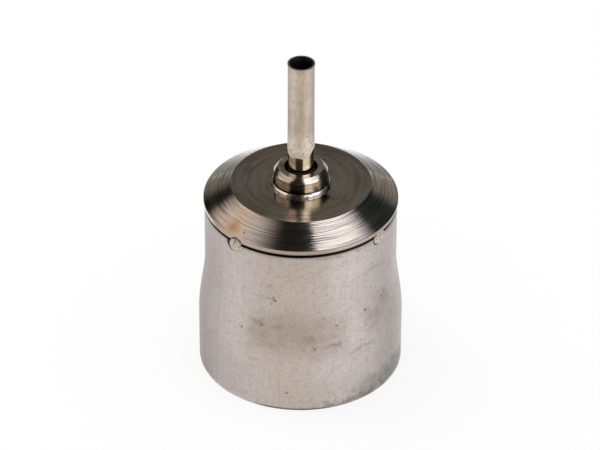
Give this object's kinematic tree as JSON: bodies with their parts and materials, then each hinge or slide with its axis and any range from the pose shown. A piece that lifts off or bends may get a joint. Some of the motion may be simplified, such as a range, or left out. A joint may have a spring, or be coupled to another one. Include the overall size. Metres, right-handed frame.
{
  "type": "hot air nozzle",
  "caption": "Push-on hot air nozzle: a flared sheet steel sleeve, tack-welded to a turned steel cap that carries a narrow straight outlet tube.",
  "frame": {"origin": "centre of the sleeve's open end, in the plane that it stands on", "axes": "+Z along the nozzle's axis, from the open socket to the outlet tube's mouth; -Y is the side that faces the viewer"},
  "size_m": [0.031, 0.031, 0.0525],
  "materials": {
    "sleeve_steel": "satin formed stainless sheet, slightly stained by heat",
    "turned_steel": "bright turned stainless steel with concentric tool marks",
    "tube_steel": "matt drawn stainless tube, bright on the turned neck",
    "weld_steel": "rough bright tack weld"
  },
  "bodies": {
    "root": {"sleeve": "sleeve_steel", "cap": "turned_steel", "outlet_tube": "tube_steel", "tack_welds": "weld_steel"}
  },
  "joints": []
}
